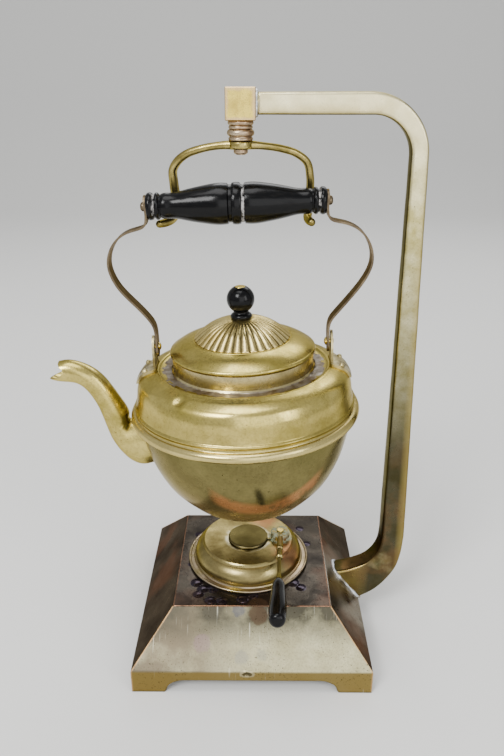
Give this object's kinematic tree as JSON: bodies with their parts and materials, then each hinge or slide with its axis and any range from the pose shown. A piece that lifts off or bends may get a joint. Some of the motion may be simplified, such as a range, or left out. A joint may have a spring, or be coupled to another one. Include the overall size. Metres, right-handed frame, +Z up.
{
  "type": "spirit kettle on stand",
  "caption": "Round brass tea kettle with a gooseneck spout and black grip, hanging from a swivel yoke on a tapered arm over a spirit lamp in a square bracket-footed base.",
  "frame": {"origin": "centre of the square base, on the surface it stands on", "axes": "+Z up; +X towards the arm, -X towards the spout; -Y towards the front, where the snuffer's lever points"},
  "size_m": [0.2221, 0.1641, 0.3374],
  "materials": {
    "base_brass": "rolled sheet brass, tarnished and stained, satin",
    "arm_brass": "cast bar, hand filed, pale satin going olive low down",
    "fitting_brass": "turned and filed brass, satin",
    "hook_brass": "bent round brass rod, satin",
    "kettle_brass": "spun sheet brass, aged satin",
    "ear_brass": "sheet brass with grey solder on it, satin",
    "bail_brass": "flat brass strip, dull and slightly pink",
    "lid_brass": "spun and chased brass, satin",
    "lamp_brass": "spun sheet brass, worn semi-gloss",
    "black_wood": "turned wood, ebonised and polished",
    "wick_cotton": "braided cotton",
    "solder": "soft solder, dull and lumpy",
    "verdigris": "pale green and white corrosion crust, matt"
  },
  "bodies": {
    "stand": {"base_front_panel": "base_brass", "base_right_panel": "base_brass", "base_back_panel": "base_brass", "base_left_panel": "base_brass", "base_top_plate": "base_brass", "stand_arm": "arm_brass", "arm_block": "fitting_brass", "swivel_post": "fitting_brass", "swivel_nut": "fitting_brass"},
    "hook": {"yoke": "hook_brass"},
    "bail": {"handle_grip": "black_wood", "grip_rod": "bail_brass", "bail_strap_left": "bail_brass", "bail_strap_right": "bail_brass"},
    "kettle": {"kettle_bowl": "kettle_brass", "kettle_shoulder": "kettle_brass", "neck_collar": "kettle_brass", "spout": "kettle_brass", "ear_left": "ear_brass", "ear_right": "ear_brass", "ear_rivets_left": "ear_brass", "ear_rivets_right": "ear_brass", "hinge_pin_left": "ear_brass", "hinge_pin_right": "ear_brass"},
    "lid": {"lid_plate": "lid_brass", "lid_flange": "lid_brass", "lid_dome": "lid_brass", "lid_knob": "black_wood", "knob_screw": "fitting_brass"},
    "lamp": {"lamp_cover": "lamp_brass", "lamp_tank": "lamp_brass", "wick_tube": "lamp_brass", "lamp_wick": "wick_cotton", "pivot_screw": "fitting_brass"},
    "snuffer": {"snuffer_cap": "lamp_brass", "snuffer_lever": "lamp_brass", "snuffer_ferrule": "lamp_brass", "snuffer_grip": "black_wood"}
  },
  "joints": [
    {"name": "yoke_swivel", "type": "hinge", "parent": "stand", "child": "hook", "pos_m": [-0.00625, 0, 0.3092], "axis": [0, 0, 1], "range_deg": [-30, 30]},
    {"name": "bail_swing", "type": "hinge", "parent": "hook", "child": "bail", "pos_m": [-0.00878, 0, 0.27898], "axis": [0.9994, 0, 0.0354], "range_deg": [-30, 30]},
    {"name": "kettle_tilt", "type": "hinge", "parent": "bail", "child": "kettle", "pos_m": [-0.00591, 0, 0.19793], "axis": [0.9994, 0, 0.0354], "range_deg": [-85, 85]},
    {"name": "lid_lift", "type": "slide", "parent": "kettle", "child": "lid", "axis": [-0.0354, 0, 0.9994], "range_m": [0, 0.033]},
    {"name": "lamp_lift", "type": "slide", "parent": "stand", "child": "lamp", "axis": [0, 0, 1], "range_m": [0, 0.018]},
    {"name": "snuffer_swing", "type": "hinge", "parent": "lamp", "child": "snuffer", "pos_m": [0.0186, 0.0016, 0.062], "axis": [0, 0, 1], "range_deg": [-75, 70]}
  ]
}
